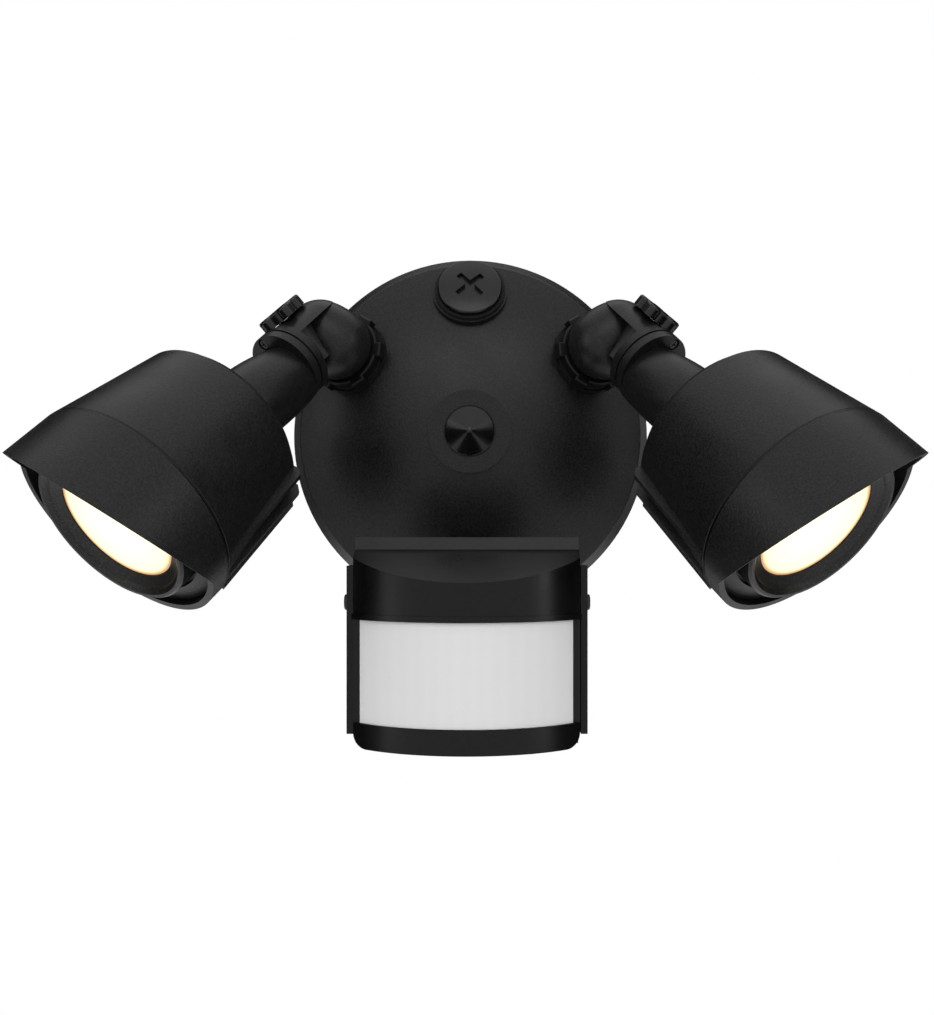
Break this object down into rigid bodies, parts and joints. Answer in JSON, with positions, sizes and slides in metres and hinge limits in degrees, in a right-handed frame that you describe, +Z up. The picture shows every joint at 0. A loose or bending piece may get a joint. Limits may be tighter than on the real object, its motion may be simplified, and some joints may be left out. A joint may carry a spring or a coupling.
{
  "type": "motion-sensing floodlight",
  "caption": "Wall-mounted outdoor floodlight: a round canopy carries swivelling lamp heads with visors and a tilting motion sensor below.",
  "frame": {"origin": "middle of the mounting crossbar, on the wall", "axes": "+Z up, +X to the viewer's right, the light looks along -Y and the wall is the plane Y = 0"},
  "size_m": [0.2628, 0.1328, 0.1617],
  "materials": {
    "powder_coat": "fine-grained black powder coat on die-cast aluminium",
    "textured_coat": "coarse black powder coat on die-cast aluminium",
    "locknut_coat": "satin black coat on die-cast aluminium",
    "gasket_rubber": "matt moulded rubber",
    "zinc_steel": "zinc-plated steel",
    "ground_brass": "green-dyed brass",
    "gloss_moulding": "gloss black moulding",
    "sensor_moulding": "semi-gloss black ABS",
    "dial_moulding": "matt black acetal",
    "fresnel_lens": "milky polyethylene with moulded lens strips",
    "lamp_lens": "frosted cream polycarbonate",
    "led_board_coat": "white solder mask on an aluminium board",
    "circuit_board": "green solder mask",
    "detector_can": "nickel-plated can",
    "driver_case": "pale grey moulding"
  },
  "bodies": {
    "root": {"canopy": "powder_coat", "canopy_gasket": "gasket_rubber", "mounting_crossbar": "zinc_steel", "ground_screw": "ground_brass", "centre_bolt": "zinc_steel", "centre_cap": "gloss_moulding", "plug_gasket": "gasket_rubber", "port_plug": "gloss_moulding", "driver_box": "driver_case", "driver_screws": "zinc_steel", "sensor_port_gasket": "gasket_rubber", "sensor_locknut": "locknut_coat", "sensor_stem": "powder_coat", "left_port_gasket": "gasket_rubber", "left_locknut": "locknut_coat", "right_port_gasket": "gasket_rubber", "right_locknut": "locknut_coat"},
    "right_arm": {"right_elbow": "powder_coat"},
    "right_head": {"right_knuckle": "powder_coat", "right_flange_seal": "gasket_rubber", "right_flange_screw": "zinc_steel", "right_neck": "powder_coat", "right_neck_nut": "zinc_steel", "right_head_housing": "powder_coat", "right_visor_shroud": "powder_coat", "right_bezel": "textured_coat", "right_bezel_screws": "zinc_steel", "right_lens": "lamp_lens", "right_led_board": "led_board_coat"},
    "right_knob": {"right_hinge_bolt": "zinc_steel", "right_star_knob": "gloss_moulding"},
    "left_arm": {"left_elbow": "powder_coat"},
    "left_head": {"left_knuckle": "powder_coat", "left_flange_seal": "gasket_rubber", "left_flange_screw": "zinc_steel", "left_neck": "powder_coat", "left_neck_nut": "zinc_steel", "left_head_housing": "powder_coat", "left_visor_shroud": "powder_coat", "left_bezel": "textured_coat", "left_bezel_screws": "zinc_steel", "left_lens": "lamp_lens", "left_led_board": "led_board_coat"},
    "left_knob": {"left_hinge_bolt": "zinc_steel", "left_star_knob": "gloss_moulding"},
    "sensor_bracket": {"sensor_yoke": "sensor_moulding", "sensor_pan_screw": "zinc_steel"},
    "sensor_head": {"sensor_rear_shell": "sensor_moulding", "sensor_hood": "sensor_moulding", "sensor_front_frame": "sensor_moulding", "sensor_fresnel_lens": "fresnel_lens", "sensor_board": "circuit_board", "pir_detector": "detector_can", "sensor_screws": "zinc_steel", "sensor_pivot_pins": "zinc_steel"},
    "sensitivity_dial": {"sensitivity_dial": "dial_moulding"},
    "duration_dial": {"duration_dial": "dial_moulding"},
    "daylight_dial": {"daylight_dial": "dial_moulding"}
  },
  "joints": [
    {"name": "right_swivel", "type": "hinge", "parent": "root", "child": "right_arm", "pos_m": [0.04109, -0.01533, 0.02669], "axis": [0.3669, -0.8992, 0.2383], "range_deg": [-10, 90]},
    {"name": "right_aim", "type": "hinge", "parent": "right_arm", "child": "right_head", "pos_m": [0.05073, -0.0329, 0.0233], "axis": [0.6192, -0.2539, 0.743], "range_deg": [-45, 45]},
    {"name": "right_knob_turn", "type": "hinge", "parent": "right_arm", "child": "right_knob", "pos_m": [0.05073, -0.0329, 0.0233], "axis": [0.6192, -0.2539, 0.743], "continuous": true},
    {"name": "left_swivel", "type": "hinge", "parent": "root", "child": "left_arm", "pos_m": [-0.04109, -0.01533, 0.02669], "axis": [0.3669, 0.8992, -0.2383], "range_deg": [-10, 90]},
    {"name": "left_aim", "type": "hinge", "parent": "left_arm", "child": "left_head", "pos_m": [-0.05073, -0.0329, 0.0233], "axis": [0.6192, 0.2539, -0.743], "range_deg": [-45, 45]},
    {"name": "left_knob_turn", "type": "hinge", "parent": "left_arm", "child": "left_knob", "pos_m": [-0.05073, -0.0329, 0.0233], "axis": [0.6192, 0.2539, -0.743], "continuous": true},
    {"name": "sensor_pan", "type": "hinge", "parent": "root", "child": "sensor_bracket", "pos_m": [0, -0.0454, -0.064], "axis": [0, 0, 1], "range_deg": [-25, 25]},
    {"name": "sensor_tilt", "type": "hinge", "parent": "sensor_bracket", "child": "sensor_head", "pos_m": [0, -0.0775, -0.0557], "axis": [1, 0, 0], "range_deg": [-25, 20]},
    {"name": "sensitivity_turn", "type": "hinge", "parent": "sensor_head", "child": "sensitivity_dial", "pos_m": [-0.017, -0.093, -0.0972], "axis": [0, 0, -1], "range_deg": [0, 270]},
    {"name": "duration_turn", "type": "hinge", "parent": "sensor_head", "child": "duration_dial", "pos_m": [0, -0.093, -0.0972], "axis": [0, 0, -1], "range_deg": [0, 270]},
    {"name": "daylight_turn", "type": "hinge", "parent": "sensor_head", "child": "daylight_dial", "pos_m": [0.017, -0.093, -0.0972], "axis": [0, 0, -1], "range_deg": [0, 270]}
  ]
}
